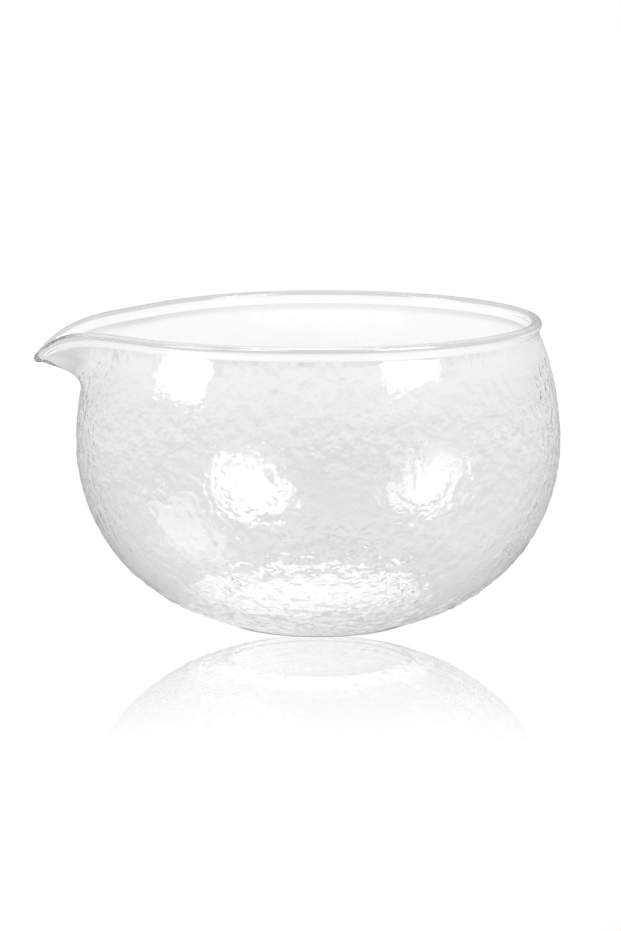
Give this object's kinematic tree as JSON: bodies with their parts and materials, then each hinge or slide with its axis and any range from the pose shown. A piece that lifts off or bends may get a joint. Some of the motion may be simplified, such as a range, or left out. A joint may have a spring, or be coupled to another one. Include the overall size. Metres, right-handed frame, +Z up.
{
  "type": "matcha bowl",
  "caption": "Round glass tea bowl with a hammered blown wall, a flat base, a fire-polished rim bead and a drawn pouring lip.",
  "frame": {"origin": "centre of the flat resting face, on the bowl's axis", "axes": "+Z up along the bowl's axis, -X towards the pouring lip"},
  "size_m": [0.1302, 0.12, 0.0753],
  "materials": {
    "hammered_glass": "clear, mould-blown, with a fine hammered outside",
    "polished_glass": "clear, smooth and fire-polished"
  },
  "bodies": {
    "root": {"bowl_base": "hammered_glass", "bowl_wall": "hammered_glass", "rim_bead": "polished_glass", "pouring_lip": "polished_glass"}
  },
  "joints": []
}
